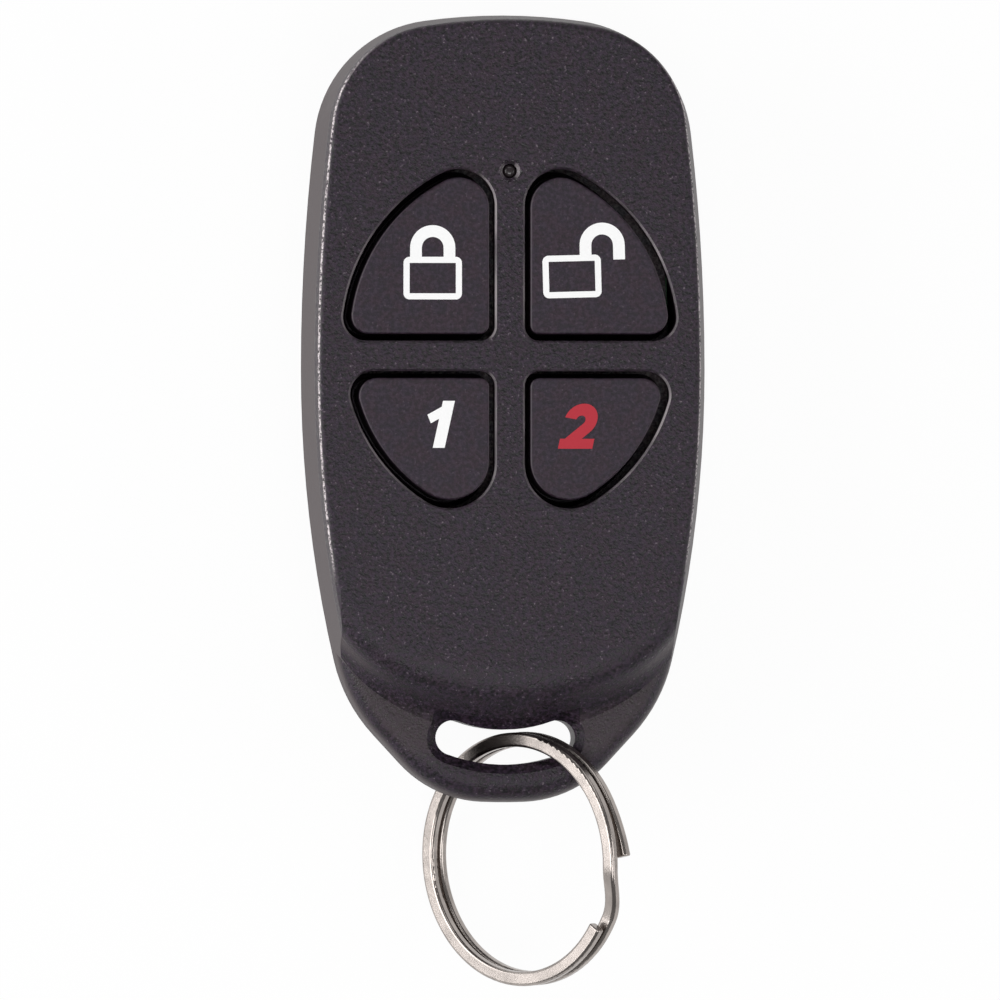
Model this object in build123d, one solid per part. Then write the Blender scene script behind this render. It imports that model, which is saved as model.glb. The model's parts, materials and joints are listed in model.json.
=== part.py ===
from build123d import *
import math
import os

# Four key alarm fob with a split ring.
# The fob lies on its back: +Z is the key side, +Y points away from the ring, +X is the right hand side.
# The origin is the centre of the flat back.

# Housing as a whole
housing_length = 62.9
housing_width = 32.4
housing_thickness = 13.8
parting_height = 8.0
wall = 1.5
face_inset = 0.9
face_end_share = 0.5
back_inset = 1.0
face_edge_radius = 0.45
back_edge_radius = 1.2
shadow_gap_height = 0.25
shadow_gap_depth = 0.35
overrun = 5.0

# Outline corners: share of the half width, share of the half length
# The end corner's radius follows the width
crown_corner_shares = (0.87, 0.929)
waist_share = 0.099
tail_corner_shares = (0.784, -0.75)
end_corner_shares = (0.361, -0.987)
crown_corner_radius = 10.2
face_corner_radius = 8.6
tail_corner_radius = 13.0
end_corner_share = 0.5864

# Tail: the thinner end that carries the slot, reached by a rolled step on the front and on the back
deck_rise = 2.6
tail_underside_drop = 2.6
deck_edge_radius = 1.7
tail_underside_edge_radius = 1.4
step_setback = 17.65
# For each level of the step: share of the climb from the foot, side inset and reach of its rounded end
front_step_shares = [0.0, 0.25, 0.62, 0.9, 1.0]
front_step_insets = [0.9, 1.1, 1.4, 1.9, 2.8]
front_step_reaches = [12.2, 10.9, 9.9, 8.7, 7.0]
back_step_shares = [0.0, 0.3, 0.72, 1.0]
back_step_insets = [1.0, 1.3, 1.7, 2.2]
back_step_reaches = [11.6, 10.4, 9.2, 7.4]
cavity_end_inset = 1.9
cavity_end_reach = 8.4

# Slot for the ring
slot_width = 2.8
slot_end_x = 4.2
slot_end_margin = 5.15
slot_bow = 0.75
slot_lip = 0.75

# Key field
key_web = 2.4
key_field_share = 0.3965
key_gap = 0.45
key_gap_at_arc = 0.66
key_gap_at_web = 0.56
key_opening_bevel = 0.16
key_edge_radius = 0.2
upper_arc_margin = 1.4
upper_arc_offset_x = 1.33
upper_arc_offset_y = 1.44
lower_arc_margin = 2.2
lower_arc_offset_x = 0.75
lower_arc_offset_y = 0.22
upper_tip_radius = 2.9
lower_tip_radius = 3.6
side_corner_radius = 1.9
inner_corner_radius = 1.2
key_travel = 0.8

# Circuit board and keypad mat
board_clearance = 0.4
board_pillar_gap = 0.9
board_corner_radius = 2.0
board_thickness = 1.0
mat_thickness = 1.0
mat_top_margin = 3.6
mat_end_margin = 15.14
mat_corner_radius = 4.0
mat_side_inset = 0.6
mat_opening_inset = 0.5
skirt_height = 1.2
skirt_thickness = 0.4
skirt_spread = 0.3
skirt_lean = 0.4
plunger_inset = 0.9
least_corner_radius = 0.3
pill_diameter = 4.0
pill_thickness = 0.3
rib_thickness = 1.2
rib_end_clearance = 0.6

# Cover lip that centres the front housing
lip_thickness = 0.8
lip_height = 1.0
lip_clearance = 0.1
floor_thickness = 1.6

# Light pipe and its light source
light_setback = 1.48
light_hole_diameter = 1.16
light_mouth_bevel = 0.25
light_recess = 0.25
light_pipe_clearance = 0.04
light_flange_diameter = 2.6
light_flange_thickness = 0.8
light_rod_diameter = 2.0
light_dome_radius = 0.4
light_boss_diameter = 4.0
light_boss_depth = 1.4
led_length = 1.6
led_width = 0.8
led_height = 0.7
led_gap = 0.3
mat_light_hole_diameter = 3.2

# Cover screw and the two bosses that it joins
screw_setback = 3.8
screw_shank_diameter = 2.0
screw_head_diameter = 3.8
screw_head_height = 1.3
screw_head_recess = 0.4
screw_length = 8.6
screw_clearance = 0.05
screw_counterbore_diameter = 4.3
screw_boss_diameter = 6.4
screw_pillar_diameter = 4.6
screw_boss_height = 4.9
screw_drive_width = 0.5
screw_drive_length = 2.2
screw_drive_depth = 0.7

# Coin cell and its two contacts
cell_diameter = 20.0
cell_thickness = 3.2
cell_edge_radius = 0.3
cell_cap_diameter = 17.4
cell_cap_height = 0.2
cell_boss_gap = 0.1
cell_floor_gap = 0.7
minus_contact_height = 0.5
clip_thickness = 0.3
clip_width = 6.0
clip_leg_width = 3.0
clip_side_gap = 0.35
minus_contact_length = 9.0
minus_contact_width = 3.0
minus_contact_thickness = 0.2
cradle_clearance = 0.3
cradle_thickness = 1.0
cradle_height = 2.9
cradle_arc = 46.0

# Board components on the underside of the board
controller_length = 5.0
controller_width = 4.4
controller_height = 0.9
controller_leads = 7
lead_length = 0.8
lead_thickness = 0.15
controller_x = -5.2
controller_offset_y = 16.6
transmitter_size = 3.0
transmitter_height = 0.8
transmitter_x = 4.6
transmitter_offset_y = 15.6
crystal_length = 3.2
crystal_width = 2.5
crystal_height = 0.7
crystal_gap = 0.9
passive_length = 1.6
passive_width = 0.8
passive_height = 0.6
passive_pitch = 1.7
passive_count = 5
passive_offset_y = 12.2
antenna_half_width = 8.5
antenna_length = 6.2
antenna_end_margin = 5.25
antenna_drop = 1.6
antenna_wire_diameter = 0.8
antenna_bend_radius = 2.5
antenna_foot_bend_radius = 0.7
post_diameter = 2.4
post_side_margin = 5.0
post_light_offset = 1.4
post_end_margin = 2.4

# Split ring: two flat turns of one wire, with a step from one turn to the other
ring_diameter = 20.3
ring_wire_width = 1.15
ring_wire_thickness = 0.8
ring_turn_gap = 0.3
ring_wire_edge_radius = 0.24
ring_cut_edge_radius = 0.12
ring_bar_margin = 1.326
ring_top_x = 1.0
ring_lean = 4.0
ring_flare_sweep = 17.0
ring_flare_shift = 6.0
ring_seat_gap = 0.2
ring_step_start = -6.0
ring_step_sweep = 27.0
ring_end_gap = 4.0
ring_step_sections = 7
ring_measure_apart = 90

# Values worked out from those above
half_length = housing_length / 2
half_width = housing_width / 2
end_corner_radius = end_corner_share * half_width
rear_height = parting_height - shadow_gap_height
deck_height = parting_height + deck_rise
tail_underside_height = parting_height - tail_underside_drop
ceiling = housing_thickness - wall
lip_inset = wall + lip_clearance + lip_thickness
rib_length = housing_width - 2 * (lip_inset + rib_end_clearance)

# Stack from the floor up: cell, contact, board, mat, keys
cell_base = floor_thickness + cell_floor_gap
cell_top = cell_base + cell_thickness
board_underside = cell_top + minus_contact_height
board_top = board_underside + board_thickness
mat_top = board_top + mat_thickness
cap_base = mat_top + skirt_height
pill_base = board_top + key_travel
plunger_base = pill_base + pill_thickness

# Places along the housing, from the tail to the crown
slot_end_y = slot_end_margin - half_length
slot_centre_y = slot_end_y - slot_bow
step_centre_y = step_setback - half_length
screw_y = step_centre_y - screw_setback
board_end_y = screw_y + screw_pillar_diameter / 2 + board_pillar_gap
cradle_outer_radius = cell_diameter / 2 + cradle_clearance + cradle_thickness
cell_y = screw_y + screw_boss_diameter / 2 + cell_boss_gap + cradle_outer_radius
key_field_y = step_centre_y + key_field_share * (half_length - step_centre_y)
upper_arc_radius = half_width - upper_arc_margin
lower_arc_radius = half_width - lower_arc_margin
upper_arc_centre_y = key_field_y + upper_arc_offset_y
lower_arc_centre_y = key_field_y + lower_arc_offset_y
light_y = upper_arc_centre_y + upper_arc_radius - light_setback
mat_top_y = light_y + mat_top_margin
mat_end_y = key_field_y - mat_end_margin
post_x = half_width - post_side_margin
post_upper_y = light_y - post_light_offset
post_lower_y = board_end_y + post_end_margin
controller_y = cell_y + controller_offset_y
transmitter_y = cell_y + transmitter_offset_y
crystal_x = transmitter_x
crystal_y = transmitter_y + (transmitter_size + crystal_width) / 2 + crystal_gap
passive_y = cell_y + passive_offset_y
antenna_top_y = half_length - antenna_end_margin
antenna_foot_y = antenna_top_y - antenna_length

# Ring: it leans against the slot's inner edge, and steeply enough to clear the bar in front of and behind it
ring_outer_radius = ring_diameter / 2
ring_mean_radius = ring_outer_radius - ring_wire_width / 2
ring_turn_offset = (ring_wire_thickness + ring_turn_gap) / 2
ring_step_end = ring_step_start - ring_step_sweep
ring_turn_sweep = 360 - ring_step_sweep - ring_end_gap
ring_top_y = slot_centre_y + slot_width / 2 - ring_seat_gap
bar_top_rise = slot_end_y - slot_width / 2 - ring_top_y + ring_outer_radius
ring_reach_at_bar = math.sqrt(ring_mean_radius ** 2 - bar_top_rise ** 2)
ring_tilt = math.degrees(math.atan2(deck_rise + ring_wire_width + ring_bar_margin, ring_reach_at_bar))

# Far end of the ring's wire: it springs outwards on an arc of a larger radius
ring_flare_radius = ring_mean_radius + ring_flare_shift
ring_flare_turn = math.radians(ring_flare_sweep)
ring_flare_cover = math.degrees(math.atan2(ring_flare_radius * math.sin(ring_flare_turn),
                                           ring_flare_radius * math.cos(ring_flare_turn) - ring_flare_shift))
ring_flare_start = ring_step_end - ring_turn_sweep + ring_flare_cover


def outline_face(inset, end_inset, corner_radius, height):
    """Egg shaped outline of arcs, drawn in from the widest outline at its sides and at its two ends."""
    width = half_width - inset
    length = half_length - end_inset
    waist = (width, waist_share * length)
    corner_shares = (crown_corner_shares, tail_corner_shares, end_corner_shares)
    crown, tail, end = [(a * width, b * length) for a, b in corner_shares]
    curves = [ThreePointArc((-crown[0], crown[1]), (0, length), crown),
              ThreePointArc((-end[0], end[1]), (0, -length), end)]
    for side in (-1, 1):
        points = [(side * x, y) for x, y in (waist, crown, tail, end)]
        curves.append(TangentArc(points[0], points[1], tangent=(0, 1)))
        curves.append(TangentArc(points[0], points[2], tangent=(0, -1)))
        curves.append(Line(points[2], points[3]))
    face = make_face(curves)
    radii = (corner_radius, tail_corner_radius - inset, end_corner_radius - inset)
    for (x, y), radius in zip((crown, tail, end), radii):
        for side in (-1, 1):
            face = fillet(face.vertices().sort_by_distance((side * x, y, 0))[0], radius)
    return Pos(0, 0, height) * face


def step_face(reach_x, reach_y, height):
    """Flat face that covers the body and ends in a half ellipse towards the ring."""
    flare = half_width + overrun
    top = half_length + overrun
    arc = EllipticalCenterArc((0, step_centre_y), reach_x, reach_y, start_angle=180, arc_size=180)
    sides = Polyline((reach_x, step_centre_y), (flare, 0), (flare, top), (-flare, top), (-flare, 0),
                     (-reach_x, step_centre_y))
    return Pos(0, 0, height) * make_face([arc, sides])


def step_region(shares, insets, reaches, foot, top, root):
    """Space of the thick body: a rolled step from the foot to the face, and straight down to the root."""
    levels = [foot + share * (top - foot) for share in shares]
    rolled = loft([step_face(half_width - x, y, z) for x, y, z in zip(insets, reaches, levels)])
    block = extrude(step_face(half_width - insets[0], reaches[0], foot), amount=root - foot, dir=(0, 0, 1))
    return rolled + block


def slab(low, high):
    """Wide block between two heights, for keeping a slice of a body."""
    size = 2 * (housing_length + overrun)
    return Pos(0, 0, (low + high) / 2) * Box(size, size, high - low)


def slot_face(growth, height):
    """Curved slot outline, grown evenly by the given amount."""
    middle = ThreePointArc((-slot_end_x, slot_end_y), (0, slot_centre_y), (slot_end_x, slot_end_y))
    return Pos(0, 0, height) * SlotArc(middle, slot_width + 2 * growth)


def slot_tool(low, high):
    """Through slot with a flared lip at its two mouths."""
    tool = extrude(slot_face(0, low - overrun), amount=high - low + 2 * overrun)
    for mouth, inward in ((low, 1), (high, -1)):
        outer = slot_face(2 * slot_lip, mouth - inward * slot_lip)
        inner = slot_face(0, mouth + inward * slot_lip)
        tool += loft([outer, inner])
    return tool


def key_face(side, row, inset, height, arc_inset=None, web_inset=None):
    """Outline of one key or its opening: two straight sides and one bowed side with rounded corners.

    The bowed side and the side on the level web may have an inset of their own.
    """
    upper = row > 0
    radius = (upper_arc_radius if upper else lower_arc_radius) - (arc_inset or inset)
    centre_x = -side * (upper_arc_offset_x if upper else lower_arc_offset_x)
    centre_y = upper_arc_centre_y if upper else lower_arc_centre_y
    reach = 2 * upper_arc_radius
    near_x = key_web / 2 + inset
    near_y = key_field_y + row * (key_web / 2 + (web_inset or inset))
    quadrant = Pos(side * (near_x + reach / 2), near_y + row * reach / 2) * Rectangle(reach, reach)
    face = (Pos(centre_x, centre_y) * Circle(radius)) & quadrant
    tip_radius = upper_tip_radius if upper else lower_tip_radius
    corners = face.vertices()
    tip = corners.sort_by(lambda v: row * v.Y)[-1]
    outer = corners.sort_by(lambda v: side * v.X)[-1]
    inner = corners.sort_by(lambda v: abs(v.X) + abs(v.Y - near_y))[0]
    radii = (tip_radius, side_corner_radius, inner_corner_radius)
    for corner, corner_radius in zip((tip, outer, inner), radii):
        vertex = face.vertices().sort_by_distance((corner.X, corner.Y, 0))[0]
        face = fillet(vertex, max(corner_radius - inset, least_corner_radius))
    return Pos(0, 0, height) * face


def cavity_face(inset, height):
    """Outline of the thick body's inside, with a rounded end short of the tail."""
    growth = face_inset - inset
    limit = step_face(half_width - cavity_end_inset + growth, cavity_end_reach + growth, height)
    return outline_face(inset, inset, crown_corner_radius - inset, height) & limit


def post(x, y, diameter, low, high):
    """Upright round post between two heights."""
    return Pos(x, y, (low + high) / 2) * Cylinder(diameter / 2, high - low)


def rounded_tail(hull, low, high, order, radius):
    """Thin tail of a shell: a slice of its hull, its outer edge rounded at the lowest or highest face."""
    tail = hull & slab(low, high)
    return fillet(tail.faces().sort_by(Axis.Z)[order].edges(), radius)


def bevel_tool(side, row):
    """Cuts a small bevel round a key opening's mouth."""
    low = key_face(side, row, key_opening_bevel, housing_thickness - 2 * key_opening_bevel)
    high = key_face(side, row, -2 * key_opening_bevel, housing_thickness + key_opening_bevel)
    return loft([low, high])


def light_pipe_form(clearance, low, high):
    """Stepped round form of the light pipe; the clearance and the two heights also give its bore."""
    pin = post(0, light_y, light_hole_diameter - 2 * light_pipe_clearance + 2 * clearance, ceiling, high)
    flange_low = low if clearance else ceiling - light_flange_thickness
    flange = post(0, light_y, light_flange_diameter + 2 * clearance, flange_low, ceiling)
    return pin + flange


def front_housing():
    """Front shell: face with key openings, rolled step, deck, slot, ribs, light boss and screw pillar."""
    rim = outline_face(0, 0, crown_corner_radius, parting_height)
    face = outline_face(face_inset, face_inset * face_end_share, face_corner_radius, housing_thickness)
    hull = loft([rim, face])
    tail = rounded_tail(hull, 0, deck_height, -1, deck_edge_radius)
    body = fillet(hull.faces().sort_by(Axis.Z)[-1].edges(), face_edge_radius)
    body = body & step_region(front_step_shares, front_step_insets, front_step_reaches,
                              deck_height, housing_thickness, parting_height)
    shell = tail + body
    low = parting_height - overrun
    shell -= extrude(cavity_face(lip_inset, low), amount=ceiling - low)
    shell -= extrude(cavity_face(wall, low), amount=parting_height + lip_height + lip_clearance - low)
    shell -= slot_tool(tail_underside_height, deck_height)
    rib_middle = (ceiling + mat_top) / 2
    rib_depth = ceiling - mat_top
    shell += Pos(0, key_field_y, rib_middle) * Box(rib_length, rib_thickness, rib_depth)
    rib_low = mat_end_y + mat_corner_radius
    shell += Pos(0, (light_y + rib_low) / 2, rib_middle) * Box(rib_thickness, light_y - rib_low, rib_depth)
    shell += post(0, light_y, light_boss_diameter, ceiling - light_boss_depth, ceiling)
    shell += post(0, screw_y, screw_pillar_diameter, screw_boss_height, ceiling)
    for side, row in keys.values():
        shell -= extrude(key_face(side, row, 0, mat_top - overrun), amount=housing_thickness)
        shell -= bevel_tool(side, row)
    shell -= light_pipe_form(light_pipe_clearance, mat_top - overrun, housing_thickness + overrun)
    mouth_radius = light_hole_diameter / 2
    mouth = Cone(mouth_radius, mouth_radius + 2 * light_mouth_bevel, 2 * light_mouth_bevel)
    shell -= Pos(0, light_y, housing_thickness) * mouth
    pilot_top = screw_head_recess + screw_length + wall / 2
    shell -= post(0, screw_y, screw_shank_diameter + 2 * screw_clearance, 0, pilot_top)
    return shell


def cradle_wall(angle):
    """Curved wall that holds a corner of the coin cell, at an angle round the cell."""
    bore = cell_diameter + 2 * cradle_clearance
    top = floor_thickness + cradle_height
    ring = post(0, cell_y, 2 * cradle_outer_radius, floor_thickness, top)
    ring -= post(0, cell_y, bore, floor_thickness, top)
    edges = [cell_diameter * point_at(side * cradle_arc / 2) for side in (-1, 1)]
    wedge = extrude(make_face(Polyline((0, 0), *edges, (0, 0))), amount=housing_thickness)
    return ring & (Pos(0, cell_y, 0) * Rot(0, 0, angle) * wedge)


def rear_cover():
    """Rear shell: flat back, rising tail, slot, centring lip, board posts, cell cradle and screw boss."""
    back = outline_face(back_inset, back_inset, crown_corner_radius - back_inset, 0)
    rim = outline_face(0, 0, crown_corner_radius, rear_height)
    hull = loft([back, rim])
    tail = rounded_tail(hull, tail_underside_height, housing_thickness, 0, tail_underside_edge_radius)
    body = fillet(hull.faces().sort_by(Axis.Z)[0].edges(), back_edge_radius)
    body = body & step_region(back_step_shares, back_step_insets, back_step_reaches,
                              tail_underside_height, 0, rear_height)
    shell = tail + body
    shell += extrude(outline_face(shadow_gap_depth, shadow_gap_depth, crown_corner_radius, rear_height),
                     amount=shadow_gap_height)
    shell -= extrude(cavity_face(lip_inset, floor_thickness), amount=parting_height)
    lip = extrude(cavity_face(wall + lip_clearance, parting_height), amount=lip_height)
    shell += lip - extrude(cavity_face(lip_inset, parting_height), amount=lip_height)
    for x in (-post_x, post_x):
        for y in (post_upper_y, post_lower_y):
            shell += post(x, y, post_diameter, floor_thickness, board_underside)
    for quarter in range(4):
        shell += cradle_wall(45 + 90 * quarter)
    shell += post(0, screw_y, screw_boss_diameter, floor_thickness, screw_boss_height)
    head_seat = screw_head_recess + screw_head_height
    shell -= post(0, screw_y, screw_counterbore_diameter, -overrun, head_seat)
    shell -= post(0, screw_y, screw_shank_diameter + 2 * screw_clearance, -overrun, housing_thickness)
    shell -= slot_tool(tail_underside_height, deck_height)
    return shell


def point_at(angle):
    """Unit vector in the plan at an angle in degrees."""
    return Vector(math.cos(math.radians(angle)), math.sin(math.radians(angle)), 0)


def cover_screw():
    """Pan head screw with a cross recess; its thread is left plain."""
    seat = screw_head_recess + screw_head_height
    head = post(0, screw_y, screw_head_diameter, screw_head_recess, seat)
    head = fillet(head.faces().sort_by(Axis.Z)[0].edges(), screw_head_height / 2)
    screw = head + post(0, screw_y, screw_shank_diameter, seat, screw_head_recess + screw_length)
    for turn in (0, 90):
        blade = Box(screw_drive_length, screw_drive_width, 2 * screw_drive_depth)
        screw -= Pos(0, screw_y, screw_head_recess) * Rot(0, 0, turn) * blade
    return screw


def keypad_mat():
    """Silicone sheet on the board, open under each key and under the light pipe."""
    sheet = extrude(cavity_face(lip_inset + mat_side_inset, board_top), amount=mat_thickness)
    length = mat_top_y - mat_end_y
    keep = Pos(0, (mat_top_y + mat_end_y) / 2, board_top) * extrude(
        RectangleRounded(housing_width, length, mat_corner_radius), amount=mat_thickness)
    sheet = sheet & keep
    for side, row in keys.values():
        sheet -= extrude(key_face(side, row, key_gap + mat_opening_inset, board_top), amount=mat_thickness)
    return sheet - post(0, light_y, mat_light_hole_diameter, board_top, mat_top)


def key_cap(side, row):
    """Silicone key: a flat topped cap in its opening and a plunger below it."""
    outline = key_face(side, row, key_gap, cap_base, key_gap_at_arc, key_gap_at_web)
    cap = extrude(outline, amount=housing_thickness - cap_base)
    cap = fillet(cap.faces().sort_by(Axis.Z)[-1].edges(), key_edge_radius)
    plunger = key_face(side, row, key_gap + plunger_inset, plunger_base)
    return cap + extrude(plunger, amount=cap_base - plunger_base)


def key_skirt(side, row):
    """Thin sloping collar from the mat up to the cap, which buckles when the key is pressed."""
    foot = key_gap - skirt_spread
    forms = []
    for inset in (foot, foot + skirt_thickness):
        ends = [key_face(side, row, inset, mat_top), key_face(side, row, inset + skirt_lean, cap_base)]
        forms.append(loft(ends))
    return forms[0] - forms[1]


def contact_pill(side, row):
    """Carbon pill under the middle of the plunger."""
    middle = key_face(side, row, key_gap + plunger_inset, 0).center()
    return post(middle.X, middle.Y, pill_diameter, pill_base, plunger_base)


def light_pipe():
    """Clear stepped rod that carries light to the face, with a domed end just under the face."""
    pipe = light_pipe_form(0, 0, housing_thickness - light_recess)
    pipe = fillet(pipe.faces().sort_by(Axis.Z)[-1].edges(), light_dome_radius)
    rod_low = board_top + led_height + led_gap
    return pipe + post(0, light_y, light_rod_diameter, rod_low, ceiling - light_flange_thickness)


def status_led():
    """Surface mounted light source on the board."""
    body = Pos(0, light_y, board_top + led_height / 2) * Box(led_length, led_width, led_height)
    return chamfer(body.faces().sort_by(Axis.Z)[-1].edges().filter_by(Axis.Y), led_height / 4)


def circuit_board():
    """Board with the shape of the housing's inside and a straight end before the screw."""
    board = extrude(cavity_face(lip_inset + board_clearance, board_underside), amount=board_thickness)
    length = half_length - board_end_y
    middle = Pos(0, board_end_y + length / 2, board_underside + board_thickness / 2)
    board = board & (middle * Box(housing_width, length, board_thickness))
    ends = board.edges().filter_by(Axis.Z).sort_by(Axis.Y)[:2]
    return fillet(ends, board_corner_radius)


def coin_cell():
    """Coin cell: the plus can below, the smaller minus cap above."""
    can_top = cell_top - cell_cap_height
    can = fillet(post(0, cell_y, cell_diameter, cell_base, can_top).edges(), cell_edge_radius)
    return can + post(0, cell_y, cell_cap_diameter, can_top, cell_top)


def battery_plus_clip():
    """Sprung strap under the cell, with a leg up to the board on each side."""
    reach = cell_diameter / 2 + clip_side_gap
    strap_low = cell_base - clip_thickness
    strap_length = 2 * (reach + clip_thickness)
    strap = Pos(0, cell_y, strap_low + clip_thickness / 2) * Box(strap_length, clip_width, clip_thickness)
    leg_height = board_underside - strap_low
    for side in (-1, 1):
        leg = Box(clip_thickness, clip_leg_width, leg_height)
        strap += Pos(side * (reach + clip_thickness / 2), cell_y, strap_low + leg_height / 2) * leg
    return strap


def battery_minus_contact():
    """Bowed leaf under the board that presses on the cell's minus cap."""
    reach = minus_contact_length / 2
    top = [(-reach, board_underside), (0, cell_top + minus_contact_thickness), (reach, board_underside)]
    low = [(x, z - minus_contact_thickness) for x, z in top]
    ends = [Line(top[i], low[i]) for i in (0, 2)]
    profile = make_face([ThreePointArc(*top), ThreePointArc(*low), *ends])
    leaf = extrude(Plane.XZ * profile, amount=minus_contact_width / 2, both=True)
    return Pos(0, cell_y, 0) * leaf


def component(x, y, length, width, height):
    """Block shaped component soldered to the underside of the board."""
    return Pos(x, y, board_underside - height / 2) * Box(length, width, height)


def microcontroller():
    """Chip package with a row of leads along each side."""
    chip = component(controller_x, controller_y, controller_length, controller_width, controller_height)
    chip = chamfer(chip.faces().sort_by(Axis.Z)[0].edges(), controller_height / 4)
    lead_pitch = controller_length / controller_leads
    for side in (-1, 1):
        for lead in range(controller_leads):
            x = controller_x + lead_pitch * (lead - (controller_leads - 1) / 2)
            y = controller_y + side * (controller_width + lead_length) / 2
            chip += component(x, y, lead_pitch / 2, lead_length, lead_thickness)
    return chip


def transmitter_chip():
    """Flat square radio chip."""
    return component(transmitter_x, transmitter_y, transmitter_size, transmitter_size, transmitter_height)


def crystal():
    """Metal can crystal with rounded corners."""
    can = component(crystal_x, crystal_y, crystal_length, crystal_width, crystal_height)
    return fillet(can.edges().filter_by(Axis.Z), crystal_height / 2)


def board_capacitors():
    """Row of small capacitors, kept as separate solids."""
    first = -passive_pitch * (passive_count - 1) / 2
    places = [first + passive_pitch * i for i in range(passive_count)]
    return Compound([component(x, passive_y, passive_width, passive_length, passive_height) for x in places])


def loop_antenna():
    """Wire loop that stands off the underside of the board round its top end."""
    low = board_underside - antenna_drop
    side, foot, top = antenna_half_width, antenna_foot_y, antenna_top_y
    points = [(-side, foot, board_underside), (-side, foot, low), (-side, top, low),
              (side, top, low), (side, foot, low), (side, foot, board_underside)]
    radii = [antenna_foot_bend_radius, antenna_bend_radius, antenna_bend_radius, antenna_foot_bend_radius]
    path = FilletPolyline(*points, radius=radii)
    return sweep(Plane(path @ 0, z_dir=path % 0) * Circle(antenna_wire_diameter / 2), path=path)


def ring_section(angle, height):
    """Rounded rectangle of the ring's wire, standing across the wire at an angle round the ring."""
    out = point_at(angle)
    middle = out * ring_mean_radius + Vector(0, 0, height)
    plane = Plane(origin=middle, x_dir=out, z_dir=point_at(angle + 90))
    return plane * RectangleRounded(ring_wire_width, ring_wire_thickness, ring_wire_edge_radius)


def step_height(share):
    """Height of the wire's centre at a share of the step, from the near turn to the far turn."""
    return ring_turn_offset * math.cos(math.pi * share)


def ring_least_gap():
    """Least gap of the ring's wire to itself, on points of its sections at each degree along the wire."""
    turn = round(ring_turn_sweep)
    step = round(ring_step_sweep)
    places = [(ring_step_start + turn - i, ring_turn_offset) for i in range(turn)]
    places += [(ring_step_start - i, step_height(i / step)) for i in range(step)]
    places += [(ring_step_end - i, -ring_turn_offset) for i in range(turn)]
    rims = [wire_points(angle, height) for angle, height in places]
    reach = ring_wire_width + ring_wire_thickness
    gaps = []
    for i, first in enumerate(rims):
        for second in rims[i + ring_measure_apart:]:
            if math.dist(first[0], second[0]) < reach:
                gaps.append(min(math.dist(p, q) for p in first for q in second))
    return min(gaps)


def wire_points(angle, height):
    """Corners and side middles of the wire's section at one place round the ring."""
    turn = math.radians(angle)
    points = []
    for across in (-1, 0, 1):
        radius = ring_mean_radius + across * ring_wire_width / 2
        for up in (-1, 0, 1):
            z = height + up * ring_wire_thickness / 2
            points.append((radius * math.cos(turn), radius * math.sin(turn), z))
    return points


def flared_end():
    """Last stretch of the far turn, turned about a centre that is shifted away from it, and its end point."""
    start = point_at(ring_flare_start)
    centre = start * -ring_flare_shift
    section = ring_section(ring_flare_start, -ring_turn_offset)
    flare = revolve(section, axis=Axis(centre, (0, 0, 1)), revolution_arc=-ring_flare_sweep)
    tip = centre + point_at(ring_flare_start - ring_flare_sweep) * ring_flare_radius
    return flare, tip - Vector(0, 0, ring_turn_offset)


def split_ring():
    """Split ring: a near turn and a far turn of one flat wire, joined by a step between the two cut ends."""
    near_end = ring_section(ring_step_start, ring_turn_offset)
    far_end = ring_section(ring_step_end, -ring_turn_offset)
    near = revolve(near_end, axis=Axis.Z, revolution_arc=ring_turn_sweep)
    far = revolve(far_end, axis=Axis.Z, revolution_arc=ring_flare_cover - ring_turn_sweep)
    flare, far_tip = flared_end()
    near_tip = point_at(ring_step_start + ring_turn_sweep) * ring_mean_radius + Vector(0, 0, ring_turn_offset)
    shares = [i / (ring_step_sections - 1) for i in range(ring_step_sections)]
    step = [ring_section(ring_step_start - share * ring_step_sweep, step_height(share)) for share in shares]
    ring = near + loft(step) + far + flare
    for tip in (near_tip, far_tip):
        ring = fillet(ring.faces().sort_by_distance(tip)[0].edges(), ring_cut_edge_radius)
    hung = Pos(ring_top_x, ring_top_y, parting_height) * Rot(0, 0, ring_lean) * Pos(0, -ring_outer_radius, 0)
    return hung * Rot(0, -ring_tilt, 0) * ring


# Side and row of each key
keys = {"lock_key": (-1, 1), "unlock_key": (1, 1),
        "first_function_key": (-1, -1), "second_function_key": (1, -1)}

makers = [front_housing, rear_cover, cover_screw, keypad_mat, light_pipe, status_led, circuit_board,
          coin_cell, battery_plus_clip, battery_minus_contact, microcontroller, transmitter_chip,
          crystal, board_capacitors, loop_antenna, split_ring]
pieces = {maker.__name__: maker() for maker in makers}
for name, (side, row) in keys.items():
    pieces[name] = key_cap(side, row)
    pieces[name + "_skirt"] = key_skirt(side, row)
    pieces[name + "_contact_pill"] = contact_pill(side, row)

os.makedirs("parts", exist_ok=True)
for name, piece in pieces.items():
    export_step(piece, os.path.join("parts", name + ".step"))
print("least gap of the ring's wire to itself, mm:", round(ring_least_gap(), 2))
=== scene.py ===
# %% [markdown]
# An alarm key fob lies on its back on a pale table. Its plastic shells, rubber keys and steel ring come
# from the solid model, which gives every size. This lesson adds what a solid model leaves out: printed
# signs, moulded grain, worn edges with painted highlights, painted sheen and shade, a bright wound ring,
# and the light to see them by.
# The frame is loaded first, because every later piece takes its place from it.

# %% Load the frame
import json
import math

import bmesh
import bpy
from mathutils import Matrix, Vector


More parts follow.
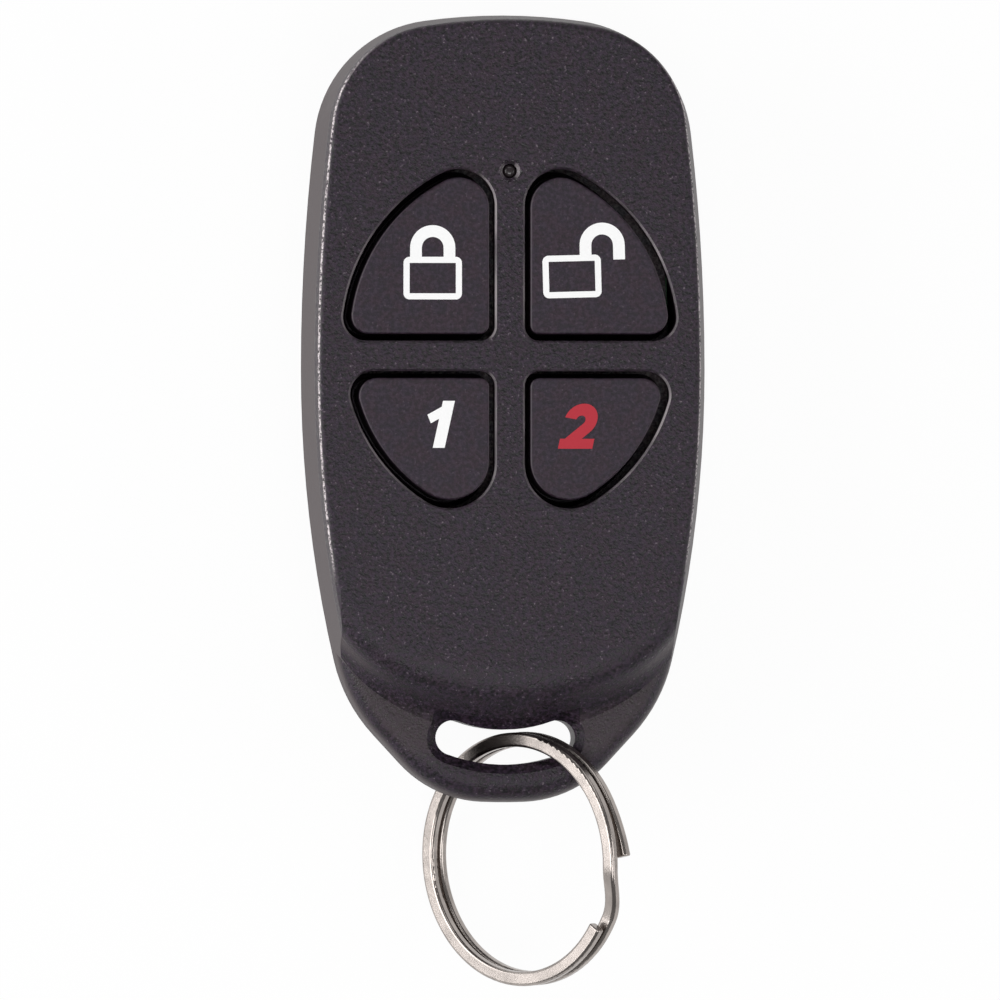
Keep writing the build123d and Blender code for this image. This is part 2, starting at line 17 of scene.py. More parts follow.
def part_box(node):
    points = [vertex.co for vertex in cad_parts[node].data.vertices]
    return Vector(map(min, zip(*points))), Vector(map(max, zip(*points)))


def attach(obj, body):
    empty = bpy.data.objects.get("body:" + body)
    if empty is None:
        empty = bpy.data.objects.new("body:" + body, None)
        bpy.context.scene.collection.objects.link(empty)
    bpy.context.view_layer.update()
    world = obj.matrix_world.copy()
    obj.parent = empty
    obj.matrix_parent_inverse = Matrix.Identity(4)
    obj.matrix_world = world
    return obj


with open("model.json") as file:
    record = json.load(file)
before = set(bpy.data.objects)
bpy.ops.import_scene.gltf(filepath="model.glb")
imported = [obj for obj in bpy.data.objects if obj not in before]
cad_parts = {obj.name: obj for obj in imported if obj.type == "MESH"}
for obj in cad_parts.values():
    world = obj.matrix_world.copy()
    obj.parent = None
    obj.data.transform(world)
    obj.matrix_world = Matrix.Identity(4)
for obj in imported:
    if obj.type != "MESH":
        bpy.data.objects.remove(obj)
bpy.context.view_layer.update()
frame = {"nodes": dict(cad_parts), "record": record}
MM = 0.001
face_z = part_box("front_housing")[1].z
print("nodes:", len(frame["nodes"]), "face height in mm:", round(face_z / MM, 2))

# %% [markdown]
# The stage is a plain table top just under the fob. A real table seen from above is the whole background,
# so one large sheet is enough. Its colour for the camera is lifted to white with Light Path, while it stays
# an ordinary matt sheet for the lamps, so the fob still drops a soft shadow and the steel still mirrors it.

# %% Table top
TABLE_HALF = 3.0
TABLE_DROP = 0.02 * MM


def table_mesh():
    """A square sheet just under the fob."""
    shape = bmesh.new()
    bmesh.ops.create_grid(shape, x_segments=1, y_segments=1, size=TABLE_HALF,
                          matrix=Matrix.Translation((0, 0, -TABLE_DROP)))
    mesh = bpy.data.meshes.new("table_top")
    shape.to_mesh(mesh)
    shape.free()
    return mesh


table = bpy.data.objects.new("table_top", table_mesh())
bpy.context.collection.objects.link(table)
print("table half width in m:", TABLE_HALF)

# %% [markdown]
# Shader maths reads best as sums. The class below wraps one output socket, and each sum on it adds a Math
# node to the same material. A second class starts a material and adds any other node with its settings and
# inputs in one call. Both are short, and every finish after them is written with them.

# %% Shader maths


class Wire:
    """An output socket that can stand in a sum; each sum adds a Math node."""

    def __init__(self, finish, socket):
        self.finish = finish
        self.socket = socket

    def math(self, operation, first, second):
        return self.finish.add("ShaderNodeMath", {"operation": operation}, {0: first, 1: second})

    def __add__(self, other):
        return self.math("ADD", self, other)

    def __sub__(self, other):
        return self.math("SUBTRACT", self, other)

    def __rsub__(self, other):
        return self.math("SUBTRACT", other, self)

    def __mul__(self, other):
        return self.math("MULTIPLY", self, other)

    def larger(self, other):
        return self.math("MAXIMUM", self, other)

    __radd__ = __add__
    __rmul__ = __mul__


class Finish:
    """A node material, built one call at a time."""

    def __init__(self, name):
        self.material = bpy.data.materials.new(name)
        self.material.use_nodes = True
        self.tree = self.material.node_tree
        self.surface = self.tree.nodes["Principled BSDF"]
        self.place = self.add("ShaderNodeTexCoord", {}, {}, "Object")

    def add(self, kind, settings, inputs, output=0):
        """One node with its settings and inputs; returns one of its outputs."""
        node = self.tree.nodes.new(kind)
        for name, value in settings.items():
            setattr(node, name, value)
        for key, value in inputs.items():
            self.feed(node.inputs[key], value)
        return Wire(self, node.outputs[output])

    def feed(self, socket, value):
        """A wire is linked, and anything else is set."""
        if isinstance(value, Wire):
            self.tree.links.new(value.socket, socket)
        else:
            socket.default_value = value

    def set(self, **inputs):
        """Feeds the main shader's sockets, with a space written as one underscore."""
        for name, value in inputs.items():
            self.feed(self.surface.inputs[name.replace("_", " ")], value)

    def step(self, value, low, high):
        """0 below low, 1 above high, smooth between; the other way round where low is the larger."""
        return self.add("ShaderNodeMapRange", {"interpolation_type": "SMOOTHSTEP"},
                        {"Value": value, "From Min": low, "From Max": high})

    def band(self, value, rise, fall):
        """1 between a rise and a fall, each of which is a pair of values that it is smooth between."""
        return self.step(value, *rise) * (1 - self.step(value, *fall))

    def noise(self, size, detail=2.0, roughness=0.5):
        """Noise whose features are about this size in metres."""
        inputs = {"Vector": self.place, "Scale": 1 / size, "Detail": detail, "Roughness": roughness}
        return self.add("ShaderNodeTexNoise", {}, inputs)

    def mix(self, share, first, second):
        """Colour that goes from the first to the second."""
        return self.add("ShaderNodeMix", {"data_type": "RGBA"}, {0: share, 6: first, 7: second}, 2)

    def part(self, vector, axis):
        """One coordinate of a vector."""
        return self.add("ShaderNodeSeparateXYZ", {}, {0: vector}, axis)

    def bump(self, height, depth):
        """Normal pushed by a height of this depth in metres."""
        return self.add("ShaderNodeBump", {}, {"Height": height, "Distance": depth})


def linear(level):
    """One screen level, 0 to 255, as the linear value that a shader takes."""
    if level <= 10:
        return level / 255 / 12.92
    return ((level / 255 + 0.055) / 1.055) ** 2.4


def shade(red, green, blue):
    """Screen colour, 0 to 255, as a shader's colour."""
    return (linear(red), linear(green), linear(blue), 1.0)


print("a mid grey of 128 is", round(shade(128, 128, 128)[0], 3), "linear")

# %% [markdown]
# The table's finish mixes a matt sheet with a plain white glow that only the camera, mirrors and clear
# parts see. The share of glow decides how faint the shadow is.

# %% Table finish
GLOW_SHARE = 0.95
table_finish = Finish("table_paper")
table_finish.set(Base_Color=shade(246, 246, 246), Roughness=0.9)
rays = table_finish.tree.nodes.new("ShaderNodeLightPath")
seen = Wire(table_finish, rays.outputs["Is Camera Ray"])
seen = seen.larger(Wire(table_finish, rays.outputs["Is Glossy Ray"]))
seen = seen.larger(Wire(table_finish, rays.outputs["Is Transmission Ray"]))
glow = table_finish.add("ShaderNodeEmission", {}, {"Color": (1, 1, 1, 1), "Strength": 1.0})
sheet = Wire(table_finish, table_finish.surface.outputs[0])
mixed = table_finish.add("ShaderNodeMixShader", {}, {0: seen * GLOW_SHARE, 1: sheet, 2: glow})
table_finish.feed(table_finish.tree.nodes["Material Output"].inputs["Surface"], mixed)
table.data.materials.append(table_finish.material)
print("table glow share:", GLOW_SHARE)

# %% [markdown]
# The light is soft, as in a product booth. One lamp hangs overhead, a little towards the tail, and its
# sheen on the matt plastic makes the flat face and the deck paler than the steep roll between them. Lamps
# at both sides pick out the walls and the lips of the openings, and a weaker one lights the end away from
# the ring. The world gives the fill. Dark gaps between the lamps matter as much as the lamps: polished
# steel is drawn by them.

# %% Lamps and world
LAMP_DISTANCE = 0.6
WORLD_FILL = 0.20


def lamp(name, direction, size, power):
    """A square soft lamp that looks at the fob from a direction."""
    light = bpy.data.lights.new(name, "AREA")
    light.size = size
    light.energy = power
    holder = bpy.data.objects.new(name, light)
    holder.location = Vector(direction).normalized() * LAMP_DISTANCE
    holder.rotation_euler = Vector(direction).to_track_quat("Z", "Y").to_euler()
    bpy.context.collection.objects.link(holder)


lamp("lamp_over", (0.05, -0.35, 1.0), 0.30, 1.12)
lamp("lamp_left", (-1.0, 0.05, 0.50), 0.50, 3.0)
lamp("lamp_top", (0.1, 1.0, 0.7), 0.40, 0.55)
lamp("lamp_right", (1.2, -0.15, 0.6), 0.35, 1.0)
world = bpy.data.worlds.new("studio")
bpy.context.scene.world = world
world.use_nodes = True
sky = world.node_tree.nodes["Background"]
sky.inputs["Color"].default_value = (1, 1, 1, 1)
sky.inputs["Strength"].default_value = WORLD_FILL
bpy.context.scene.view_settings.view_transform = "Standard"

# %% [markdown]
# The picture was taken nearly straight above the face, a little to the left, with a long lens. So the
# camera stands far off and looks down, with the fob's length up the picture.

# %% Camera
CAMERA_DISTANCE = 2500 * MM
CAMERA_LEFT = math.radians(5.5)
CAMERA_LOW = math.radians(0.6)
AIM = Vector((-0.80, -7.35, 13.8)) * MM
FRAME_WIDTH = 79.75 * MM
toward = Vector((-math.sin(CAMERA_LEFT), -math.sin(CAMERA_LOW), math.cos(CAMERA_LEFT))).normalized()
lens = bpy.data.cameras.new("camera")
lens.sensor_width = 36.0
lens.lens = lens.sensor_width * CAMERA_DISTANCE / FRAME_WIDTH
lens.clip_start = 0.01
lens.clip_end = 10.0
camera = bpy.data.objects.new("camera", lens)
camera.location = AIM + toward * CAMERA_DISTANCE
side = Vector((0, 1, 0)).cross(toward).normalized()
camera.rotation_euler = Matrix((side, toward.cross(side), toward)).transposed().to_euler()
bpy.context.collection.objects.link(camera)
bpy.context.scene.camera = camera
print("lens in mm:", round(lens.lens, 1))

# %% [markdown]
# The shells are moulded in charcoal ABS and the keys in rubber of the same colour. Dyed plastic is never
# quite even, so the colour drifts between a warm and a cool tone in soft clouds. The mould was spark eroded,
# which leaves a fine grain. Painted shade darkens its hollows and a painted highlight pales its tops, which
# now and then show a painted glint as a speck. Three noises of different size give the clouds, the blotches
# and the grain. Where a surface is smooth, the last two fade.

# %% Dyed grain with painted shade and glints
GRAIN = 0.19 * MM
BLOTCH = 0.32 * MM
CLOUD = 1.1 * MM


def grain_colour_and_painted_light(finish, base, glint, glint_share, smooth):
    """Colour with dyed clouds, painted shade and highlight in blotches and painted glints as specks, the
    height of its grain, and the blotches alone.
    """
    grain = finish.noise(GRAIN, 2.0, 0.5)
    blotch = finish.noise(BLOTCH, 2.0, 0.6)
    cloud = finish.noise(CLOUD, 2.0, 0.5)
    red, green, blue = base[:3]
    warm = (red * 1.15, green * 0.97, blue * 0.97, 1.0)
    cool = (red * 0.92, green * 1.0, blue * 1.05, 1.0)
    # dark and pale follow the grain's height: painted shade in its hollows, painted highlight on its tops
    dark = (red * 0.12, green * 0.10, blue * 0.14, 1.0)
    pale = (red * 1.85, green * 2.3, blue * 1.85, 1.0)
    colour = finish.mix(finish.step(cloud, 0.38, 0.62), warm, cool)
    colour = finish.mix(finish.step(blotch, 0.56, 0.36) * (1 - smooth), colour, dark)
    colour = finish.mix(finish.step(blotch, 0.50, 0.68) * (1 - smooth), colour, pale)
    # Painted glints on the tops of the grain.
    glints = finish.step(grain, 0.61, 0.76) * finish.step(blotch, 0.46, 0.60) * (1 - smooth)
    return finish.mix(glints * glint_share, colour, glint), grain * 0.6 + blotch * 0.4, blotch


print("grain, blotches and clouds in mm:", [round(size / MM, 2) for size in (GRAIN, BLOTCH, CLOUD)])

# %% [markdown]
# Hands and pockets polish the sharp edge of the long sides, and a painted highlight for the gleam of the
# side lamps lies on that wear, brighter on the left where the stronger lamp is, so it shows as a thin broken
# bright line. It fades round the top end, ends where the edge rolls into the tail, and is a fainter painted
# highlight on the lips of the key openings, where it comes and goes. The line is found from the height and
# the way the surface faces, so no edge has to be picked out by hand.

# %% Worn edge with painted highlight
EDGE_LOW = face_z - 0.42 * MM
LIP_HIGHLIGHT_DRIFT = 5.0 * MM
TAIL_Y = -13.0 * MM
KEYS_HALF_WIDTH = 13.9 * MM
KEYS_HIGH = 20.3 * MM
KEYS_LOW = -8.8 * MM


def worn_and_highlit_edge(finish, height, normal):
    """Share of bright wear and painted highlight on the long edges, with chips in it."""
    facing = finish.part(normal, "Z")
    sideways = finish.part(normal, "X")
    across = finish.part(finish.place, "X")
    along = finish.part(finish.place, "Y")
    line = finish.step(height, EDGE_LOW, EDGE_LOW + 0.08 * MM)
    line = line * finish.band(facing, (0.12, 0.24), (0.66, 0.84))
    # Painted highlight: strongest where the edge faces the side lamps, weaker where it faces right.
    lamp_facing_share = finish.step(sideways * sideways, 0.10, 0.32) * (1 - finish.step(sideways, 0.0, 0.3) * 0.4)
    outside = finish.step(across * across, KEYS_HALF_WIDTH ** 2, (KEYS_HALF_WIDTH + 0.4 * MM) ** 2)
    outside = outside.larger(finish.step(along, KEYS_HIGH, KEYS_HIGH + 0.5 * MM))
    outside = outside.larger(1 - finish.step(along, KEYS_LOW - 0.5 * MM, KEYS_LOW))
    outside = outside * finish.step(sideways * sideways, 0.25, 0.65)
    before_tail = finish.step(along, TAIL_Y - 1.5 * MM, TAIL_Y + 2.5 * MM)
    chips = finish.step(finish.noise(GRAIN * 1.2, 3.0, 0.7), 0.40, 0.60)
    # The painted highlight on the lips comes and goes along them.
    lip_highlight_drift = finish.step(finish.noise(LIP_HIGHLIGHT_DRIFT, 2.0, 0.5), 0.35, 0.65)
    amount = outside * chips + (1 - outside) * (0.12 + lip_highlight_drift * 0.28)
    return line * (0.1 + lamp_facing_share * 0.9) * amount * before_tail


# The bright line at this height is real wear with a painted highlight of the side lamps.
print("worn edge in mm below the face:", round((face_z - EDGE_LOW) / MM, 2))

# %% [markdown]
# One finish dresses both shells. The grain covers the face and the lip just below its edge, while the side
# walls, which slide out of the mould, are smoother and painted paler, a painted sheen for the light they
# catch at a slant. The deck above the bar is painted a little paler too, a painted sheen. The mouth of the
# light's hole is cut with a drill, so it is glossier than the rest.

# %% Moulded plastic
LIP_LOW = face_z - 1.6 * MM
DECK_HIGH = face_z - 2.9 * MM
BAR_Y = -27.8 * MM
DECK_SHEEN_SHARE = 0.42
LIGHT_RADIUS = 0.86 * MM
LIGHT_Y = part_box("light_pipe")[0].y / 2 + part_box("light_pipe")[1].y / 2
PLASTIC_ROUGHNESS = 0.50
PLASTIC_GRAIN_DEPTH = 0.10 * MM


def moulded(name, base, glint, wall_sheen, polish_and_highlight):
    """Charcoal plastic with grain, painted glints, a smoother wall with painted sheen, painted sheen on the
    deck and a worn edge with a painted highlight.
    """
    finish = Finish(name)
    height = finish.part(finish.place, "Z")
    normal = finish.add("ShaderNodeNewGeometry", {}, {}, "Normal")
    facing = finish.part(normal, "Z")
    upright = 1 - finish.step(facing * facing, 0.02, 0.36)
    below_lip = 1 - finish.step(height, LIP_LOW, LIP_LOW + 0.25 * MM)
    smooth = upright * below_lip
    colour, grain, blotch = grain_colour_and_painted_light(finish, base, glint, 0.7, smooth)
    wear = worn_and_highlit_edge(finish, height, normal)
    # Painted sheen: upright walls are painted paler for the light they catch at a slant.
    colour = finish.mix(upright * (0.35 + below_lip * 0.65), colour, wall_sheen)
    along = finish.part(finish.place, "Y")
    # Painted sheen on the deck above the bar, in the walls' paler colour.
    deck_sheen = finish.step(facing, 0.75, 0.93) * (1 - finish.step(height, DECK_HIGH, DECK_HIGH + 0.5 * MM))
    deck_sheen = deck_sheen * finish.step(along, BAR_Y - 1.0 * MM, BAR_Y + 1.0 * MM)
    colour = finish.mix(deck_sheen * DECK_SHEEN_SHARE, colour, wall_sheen)
    # Real wear and a painted highlight of the side lamps on the edge, mixed into one colour.
    colour = finish.mix(wear, colour, polish_and_highlight)
    rise = along - LIGHT_Y
    across = finish.part(finish.place, "X")
    drilled = 1 - finish.step(across * across + rise * rise, LIGHT_RADIUS ** 2, (LIGHT_RADIUS * 1.15) ** 2)
    matt = PLASTIC_ROUGHNESS + (blotch - 0.5) * 0.6 * (1 - smooth)
    finish.set(Base_Color=colour, Roughness=matt + smooth * 0.02 - drilled * 0.26, Specular_IOR_Level=0.45)
    finish.set(Normal=finish.bump(grain * (1 - smooth * 0.8), PLASTIC_GRAIN_DEPTH))
    return finish.material


housing_finish = moulded("moulded_charcoal", base=shade(33, 19, 35), glint=shade(124, 114, 121),
                         wall_sheen=shade(66, 56, 58), polish_and_highlight=shade(222, 212, 214))
print("light hole's middle in mm:", round(LIGHT_Y / MM, 2))

# %% [markdown]
# The keys are silicone in the same charcoal. Rubber copies the mould less sharply than hard plastic, so the
# grain is softer and the shine lower, and the rounded rim at the sides is painted a little pale, a painted
# highlight where the side lamps catch it.

# %% Silicone
RIM_HIGHLIGHT = 0.35
RUBBER_ROUGHNESS = 0.55
RUBBER_GRAIN_DEPTH = 0.03 * MM


def silicone(name, base, glint):
    """Soft matt rubber with a faint grain, a few pale painted glints as specks, and a painted highlight on
    its rim.
    """
    finish = Finish(name)
    colour, grain, blotch = grain_colour_and_painted_light(finish, base, glint, 0.4, 0.4)
    normal = finish.add("ShaderNodeNewGeometry", {}, {}, "Normal")
    facing = finish.part(normal, "Z")
    sideways = finish.part(normal, "X")
    rim_highlight = finish.band(facing, (0.2, 0.45), (0.7, 0.9))
    rim_highlight = rim_highlight * finish.step(sideways * sideways, 0.15, 0.4)
    rim_highlight = rim_highlight * finish.step(finish.part(finish.place, "Z"), face_z - 0.6 * MM, face_z - 0.4 * MM)
    # Painted highlight on the rim where it faces the side lamps.
    colour = finish.mix(rim_highlight * RIM_HIGHLIGHT, colour, glint)
    roughness = RUBBER_ROUGHNESS + (blotch - 0.5) * 0.4
    finish.set(Base_Color=colour, Roughness=roughness, Specular_IOR_Level=0.42)
    finish.set(Normal=finish.bump(grain, RUBBER_GRAIN_DEPTH))
    return finish.material


key_finish = silicone("key_silicone", shade(40, 27, 41), shade(114, 106, 111))
# The mat's pale grey is partly its own colour and partly painted light, lifting the deep gaps round the
# keys.
pale_mat_finish = silicone("keypad_silicone", shade(100, 92, 98), shade(120, 114, 118))
print("silicone finishes:", key_finish.name, pale_mat_finish.name)

# %% [markdown]
# The split ring is nickel plated spring steel. Plating is bright, but years of keys leave small scratches,
# so a fine noise breaks up the shine a little, and a coarse one tarnishes the colour in clouds. The same
# function, with other colours and sizes, gives the metals inside.

# %% Plated steel


def plated(name, colour, shine, scratch_size):
    """Bright metal whose roughness varies in small scratches."""
    finish = Finish(name)
    scratches = finish.noise(scratch_size, 4.0, 0.7)
    clouds = finish.noise(scratch_size * 12, 2.0, 0.5)
    dark = [c * 0.8 for c in colour[:3]] + [1.0]
    finish.set(Base_Color=finish.mix(finish.step(clouds, 0.35, 0.7), colour, dark))
    finish.set(Metallic=1.0, Roughness=shine + scratches * 0.18)
    finish.set(Normal=finish.bump(scratches, 0.004 * MM))
    return finish.material


METALS = {
    "ring_steel": plated("plated_ring_steel", shade(171, 163, 158), 0.14, 0.12 * MM),
    "screw_steel": plated("zinc_plate", shade(176, 176, 180), 0.22, 0.10 * MM),
    "cell_steel": plated("rolled_steel", shade(200, 200, 202), 0.20, 0.20 * MM),
    "contact_metal": plated("nickel_strip", shade(205, 200, 186), 0.18, 0.15 * MM),
    "crystal_can": plated("crystal_can", shade(196, 196, 200), 0.25, 0.10 * MM),
    "antenna_wire": plated("copper_wire", shade(196, 128, 84), 0.25, 0.10 * MM),
}
print("metals:", len(METALS))

# %% [markdown]
# The status light shines through a rod whose end sits just under the face. The rod is given a nearly black
# colour, so a dark gloss stands in for clear plastic, and it reads as a dimple with a wet looking dome. The
# inner pieces are never seen in the closed fob, but each still has the finish of the real thing, because a
# view of the fob taken apart should look right too.

# %% Light pipe and inner pieces


def plain(name, colour, roughness, size, depth):
    """Plastic with slight colour variation and a shallow bump."""
    finish = Finish(name)
    spots = finish.noise(size, 3.0, 0.6)
    pale = [min(1.0, c * 1.25) for c in colour[:3]] + [1.0]
    finish.set(Base_Color=finish.mix(finish.step(spots, 0.35, 0.7), colour, pale), Roughness=roughness)
    finish.set(Normal=finish.bump(spots, depth))
    return finish.material


FINISHES = {
    "housing_plastic": housing_finish,
    "key_silicone": key_finish,
    "keypad_silicone": pale_mat_finish,
    "carbon_pill": plain("carbon_pill", shade(24, 24, 25), 0.7, 0.1 * MM, 0.01 * MM),
    "light_pipe_plastic": plain("dark_light_pipe", shade(40, 34, 36), 0.18, 0.3 * MM, 0.002 * MM),
    "led_body": plain("led_lens", shade(226, 222, 206), 0.25, 0.2 * MM, 0.002 * MM),
    "board_laminate": plain("board_solder_mask", shade(26, 92, 48), 0.35, 0.5 * MM, 0.004 * MM),
    "chip_package": plain("chip_epoxy", shade(34, 34, 36), 0.6, 0.08 * MM, 0.006 * MM),
    "capacitor_ceramic": plain("capacitor_ceramic", shade(150, 122, 92), 0.4, 0.1 * MM, 0.003 * MM),
    **METALS,
}
pieces = frame["record"]["subparts"]
for piece in pieces:
    node = frame["nodes"][piece["node"]]
    node.data.materials.clear()
    node.data.materials.append(FINISHES[piece["material_slot"]])
print("finished nodes:", len(pieces), "finishes:", len(FINISHES))

# %% [markdown]
# The signs on the keys are printed in thick ink: two padlocks, shut and open, and two plain numerals. Each
# is drawn with the pen strokes that a sign maker would use. A short edge as wide as the stroke is pushed
# along straight runs and spun round the bends, and the sheet it leaves is then given the ink's thickness.

# %% Pen strokes
INK_THICKNESS = 0.02 * MM
MERGE_DISTANCE = 0.01 * MM
BEND_STEPS = 24


class Pen:
    """A wide pen: an edge that is pushed and turned over the key's face and leaves a sheet."""

    def __init__(self, x, y, width, heading):
        self.shape = bmesh.new()
        self.heading = math.radians(heading)
        self.centre = Vector((x, y, 0))
        across = self.across() * width / 2
        ends = [self.shape.verts.new(self.centre + across * sign) for sign in (-1, 1)]
        self.tip = [self.shape.edges.new(ends)]

    def across(self):
        """Unit vector to the left of the heading."""
        return Vector((-math.sin(self.heading), math.cos(self.heading), 0))

    def push(self, length):
        """Straight stroke."""
        move = Vector((math.cos(self.heading), math.sin(self.heading), 0)) * length
        made = bmesh.ops.extrude_edge_only(self.shape, edges=self.tip)["geom"]
        corners = [g for g in made if isinstance(g, bmesh.types.BMVert)]
        bmesh.ops.translate(self.shape, verts=corners, vec=move)
        edges = [g for g in made if isinstance(g, bmesh.types.BMEdge)]
        self.tip = [edge for edge in edges if all(corner in corners for corner in edge.verts)]
        self.centre += move

    def turn(self, radius, angle):
        """Bend of this radius to the left, or to the right for a negative angle."""
        way = 1 if angle > 0 else -1
        middle = self.centre + self.across() * radius * way
        geom = self.tip + list(self.tip[0].verts)
        made = bmesh.ops.spin(self.shape, geom=geom, cent=middle, axis=(0, 0, 1), angle=math.radians(angle),
                              steps=BEND_STEPS, use_duplicate=False)["geom_last"]
        self.tip = [g for g in made if isinstance(g, bmesh.types.BMEdge)]
        self.heading += math.radians(angle)
        self.centre = sum((v.co for v in self.tip[0].verts), Vector()) / 2


def stroke_solid(stroke, slant, middle):
    """Temporary object of one stroke, sheared about a height and given its thickness."""
    shear = Matrix(((1, slant, 0, -slant * middle), (0, 1, 0, 0), (0, 0, 1, 0), (0, 0, 0, 1)))
    bmesh.ops.transform(stroke, verts=stroke.verts, matrix=shear)
    bmesh.ops.remove_doubles(stroke, verts=stroke.verts, dist=MERGE_DISTANCE)
    lifted = bmesh.ops.extrude_face_region(stroke, geom=list(stroke.faces))["geom"]
    corners = [g for g in lifted if isinstance(g, bmesh.types.BMVert)]
    bmesh.ops.translate(stroke, verts=corners, vec=(0, 0, 2 * INK_THICKNESS))
    bmesh.ops.recalc_face_normals(stroke, faces=stroke.faces)
    mesh = bpy.data.meshes.new("stroke")
    stroke.to_mesh(mesh)
    stroke.free()
    return bpy.data.objects.new("stroke", mesh)


def printed(name, strokes, material, key, slant=0.0, middle=0.0):
    """Unites strokes into one sign of inked sheet on a key's face."""
    solids = [stroke_solid(stroke, slant, middle) for stroke in strokes]
    for solid in solids:
        bpy.context.collection.objects.link(solid)
    for solid in solids[1:]:
        union = solids[0].modifiers.new("union", "BOOLEAN")
        union.operation = "UNION"
        union.solver = "EXACT"
        union.object = solid
    mesh = bpy.data.meshes.new_from_object(solids[0].evaluated_get(bpy.context.evaluated_depsgraph_get()))
    for solid in solids:
        bpy.data.objects.remove(solid)
    mesh.transform(Matrix.Translation((0, 0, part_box(key)[1].z - INK_THICKNESS)))
    mesh.materials.clear()
    mesh.materials.append(material)
    sign = bpy.data.objects.new(name, mesh)
    bpy.context.collection.objects.link(sign)
    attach(sign, key + "_body")
    print(name, "faces:", len(mesh.polygons))


# %% [markdown]
# Screen ink on rubber is flat and opaque. It may wear through in a few small spots where fingers press it,
# which a noise with a hard threshold gives. The threshold is set high, because these signs are nearly new.

# %% Ink
INK_WORN_FROM = 0.80


def ink(name, colour):
    """Opaque ink with small worn spots."""
    finish = Finish(name)
    wear = finish.step(finish.noise(0.5 * MM, 4.0, 0.7), INK_WORN_FROM, INK_WORN_FROM + 0.03)
    tone = finish.noise(0.25 * MM, 2.0, 0.5)
    soft = [c * 0.96 for c in colour[:3]] + [1.0]
    base = finish.mix(tone, colour, soft)
    finish.set(Base_Color=finish.mix(wear * 0.8, base, shade(70, 64, 68)), Roughness=0.5 + tone * 0.1)
    finish.set(Normal=finish.bump(tone, 0.006 * MM))
    return finish.material


white_ink = ink("white_ink", shade(255, 255, 255))
red_ink = ink("red_ink", shade(181, 26, 46))
print("inks:", white_ink.name, red_ink.name)

# %% [markdown]
# A padlock is a rounded frame with a hoop on it, each one stroke of the pen. The open one has its hoop
# lifted and moved sideways, so that only its left leg still stands on the frame.

# %% Padlocks
LOCK_WIDTH = 4.68 * MM
LOCK_HEIGHT = 3.40 * MM
LOCK_STROKE = 0.49 * MM
HOOP_STROKE = 0.94 * MM
HOOP_RADIUS = 1.34 * MM
SHUT_LOCK = Vector((-6.19, 10.34)) * MM
SHUT_LEG = 0.96 * MM
OPEN_LOCK = Vector((5.01, 10.49)) * MM
OPEN_HOOP_SHIFT = 2.40 * MM
OPEN_LEFT_LEG = 1.0 * MM
OPEN_RIGHT_LEG = 1.16 * MM
OPEN_LEAN = 1.5


def lock_frame(x, y, lean=0):
    """Rounded frame of a padlock's body round its middle, leaning by an angle."""
    bend = LOCK_STROKE / 2
    half_length = (LOCK_WIDTH - LOCK_STROKE) / 2 - bend
    height = LOCK_HEIGHT - LOCK_STROKE - 2 * bend
    pen = Pen(x, y - (LOCK_HEIGHT - LOCK_STROKE) / 2, LOCK_STROKE, lean)
    pen.push(half_length)
    for run in (height, 2 * half_length, height):
        pen.turn(bend, 90)
        pen.push(run)
    pen.turn(bend, 90)
    pen.push(half_length)
    return pen.shape


def lock_hoop(x, foot_y, left_leg, right_leg, lean=0):
    """Hoop round its middle that starts at its left foot and ends after the right leg."""
    pen = Pen(x - HOOP_RADIUS, foot_y, HOOP_STROKE, 90 + lean)
    pen.push(left_leg)
    pen.turn(HOOP_RADIUS, -180)
    pen.push(right_leg)
    return pen.shape


foot_rise = (LOCK_HEIGHT - LOCK_STROKE) / 2
shut_hoop = lock_hoop(SHUT_LOCK.x, SHUT_LOCK.y + foot_rise, SHUT_LEG, SHUT_LEG)
printed("shut_padlock", [lock_frame(*SHUT_LOCK), shut_hoop], white_ink, "lock_key")
open_hoop = lock_hoop(OPEN_LOCK.x + OPEN_HOOP_SHIFT, OPEN_LOCK.y + foot_rise,
                      OPEN_LEFT_LEG, OPEN_RIGHT_LEG, OPEN_LEAN)
printed("open_padlock", [lock_frame(*OPEN_LOCK, OPEN_LEAN), open_hoop], white_ink, "unlock_key")

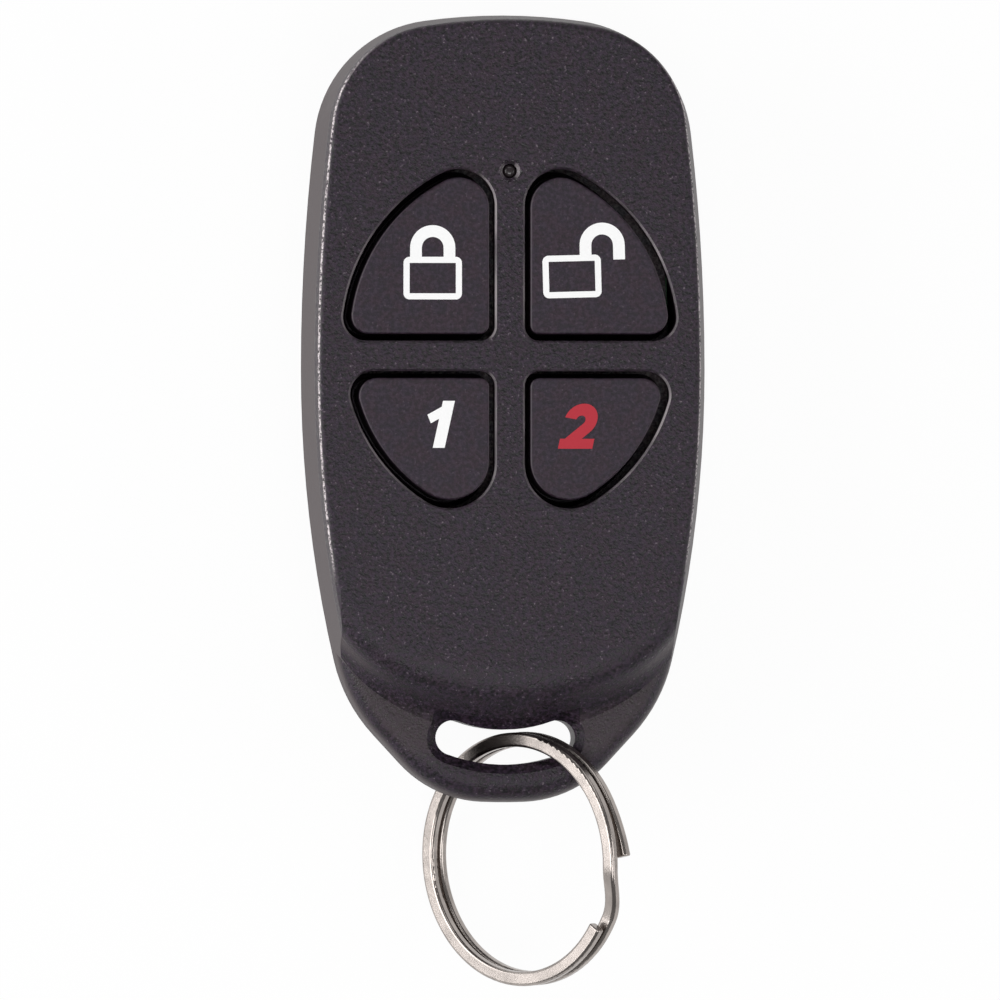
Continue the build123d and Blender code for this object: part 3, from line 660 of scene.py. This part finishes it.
# %% [markdown]
# The two lower keys carry plain numerals. They lean like italics, so each is drawn upright and then
# sheared. A one is a stem and a flag, and a two is a bowl, a falling stroke and a foot.

# %% Numerals
NUMERAL_HEIGHT = 3.75 * MM
NUMERAL_STROKE = 0.95 * MM
SLANT = 0.22
ONE_PLACE = Vector((-5.75, -1.32)) * MM
STEM_SHIFT = 0.45 * MM
FLAG_START = Vector((0.62, -0.55)) * MM
FLAG_STROKE = NUMERAL_STROKE * 0.85
FLAG_LENGTH = 1.7 * MM
FLAG_HEADING = 212
TWO_PLACE = Vector((5.60, -1.38)) * MM
BOWL_RADIUS = 0.85 * MM
BOWL_HEADING = 80
BOWL_TURN = -215
FALL_LENGTH = 1.85 * MM
FOOT_START = -1.35 * MM
FOOT_STROKE = NUMERAL_STROKE * 0.84
FOOT_LENGTH = 2.75 * MM


def one_strokes(x, y):
    """Stem and flag of a one round its middle."""
    stem = Pen(x + STEM_SHIFT, y - NUMERAL_HEIGHT / 2, NUMERAL_STROKE, 90)
    stem.push(NUMERAL_HEIGHT)
    flag = Pen(x + FLAG_START.x, y + NUMERAL_HEIGHT / 2 + FLAG_START.y, FLAG_STROKE, FLAG_HEADING)
    flag.push(FLAG_LENGTH)
    return [stem.shape, flag.shape]


def two_strokes(x, y):
    """Bowl, falling stroke and foot of a two round its middle."""
    bowl_y = y + NUMERAL_HEIGHT / 2 - NUMERAL_STROKE / 2 - BOWL_RADIUS
    bowl = Pen(x - BOWL_RADIUS, bowl_y, NUMERAL_STROKE, BOWL_HEADING)
    bowl.turn(BOWL_RADIUS, BOWL_TURN)
    bowl.push(FALL_LENGTH)
    foot = Pen(x + FOOT_START, y - NUMERAL_HEIGHT / 2 + FOOT_STROKE / 2, FOOT_STROKE, 0)
    foot.push(FOOT_LENGTH)
    return [bowl.shape, foot.shape]


printed("numeral_one", one_strokes(*ONE_PLACE), white_ink, "first_function_key", SLANT, ONE_PLACE.y)
printed("numeral_two", two_strokes(*TWO_PLACE), red_ink, "second_function_key", SLANT, TWO_PLACE.y)
